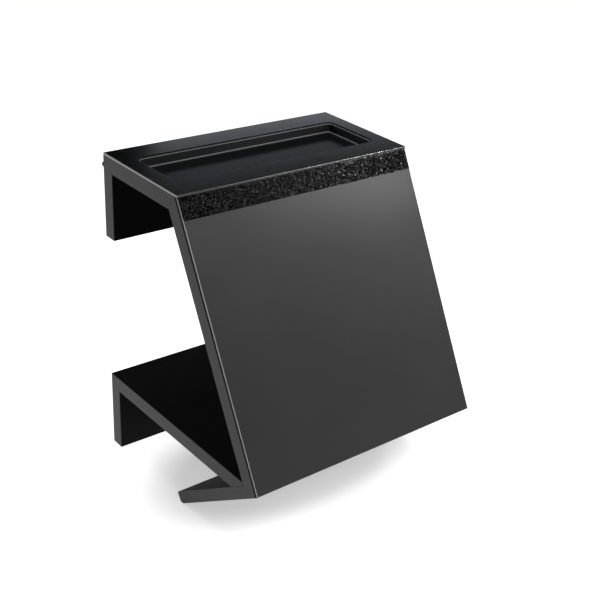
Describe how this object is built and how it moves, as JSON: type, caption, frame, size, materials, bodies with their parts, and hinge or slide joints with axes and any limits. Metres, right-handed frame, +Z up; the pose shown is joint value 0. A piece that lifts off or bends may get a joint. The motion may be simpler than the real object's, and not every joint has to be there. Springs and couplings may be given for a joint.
{
  "type": "salon styling station",
  "caption": "Salon styling station of boards folded into a zig-zag, with a tool tray set into its top, a sloping front and an open lower shelf.",
  "frame": {"origin": "on the floor, below the middle of the station's outline", "axes": "+X to the right seen from the front, +Y to the wall, +Z up"},
  "size_m": [0.6, 0.5814, 0.723],
  "materials": {
    "carcass_board": "black melamine-faced particle board",
    "edging": "dark grey satin plastic edging strip",
    "cover": "black satin laminate sheet with polished edges",
    "tray": "black formed plastic, satin",
    "facing": "dark grey satin laminate with a black core",
    "band": "black, coarsely embossed",
    "dowel": "plain beech",
    "pad": "black rubber"
  },
  "bodies": {
    "root": {"top_board": "carcass_board", "upper_back_rail": "carcass_board", "front_board": "carcass_board", "foot_board": "carcass_board", "lower_shelf": "carcass_board", "lower_back_rail": "carcass_board", "top_board_edging_left": "edging", "top_board_edging_right": "edging", "upper_back_rail_edging_left": "edging", "upper_back_rail_edging_right": "edging", "front_board_edging_left": "edging", "front_board_edging_right": "edging", "foot_board_edging_left": "edging", "foot_board_edging_right": "edging", "lower_shelf_edging_left": "edging", "lower_shelf_edging_right": "edging", "lower_back_rail_edging_left": "edging", "lower_back_rail_edging_right": "edging", "upper_back_rail_edging_lower": "edging", "lower_back_rail_edging_lower": "edging", "foot_board_edging_rear": "edging", "top_cover": "cover", "tool_tray": "tray", "front_facing": "facing", "trim_band": "band", "dowel_rear_fold_1": "dowel", "dowel_rear_fold_2": "dowel", "dowel_rear_fold_3": "dowel", "dowel_front_fold_1": "dowel", "dowel_front_fold_2": "dowel", "dowel_front_fold_3": "dowel", "dowel_nose_fold_1": "dowel", "dowel_nose_fold_2": "dowel", "dowel_nose_fold_3": "dowel", "dowel_shelf_seat_1": "dowel", "dowel_shelf_seat_2": "dowel", "dowel_shelf_seat_3": "dowel", "dowel_shelf_fold_1": "dowel", "dowel_shelf_fold_2": "dowel", "dowel_shelf_fold_3": "dowel", "wall_pad_left": "pad", "wall_pad_right": "pad"}
  },
  "joints": []
}
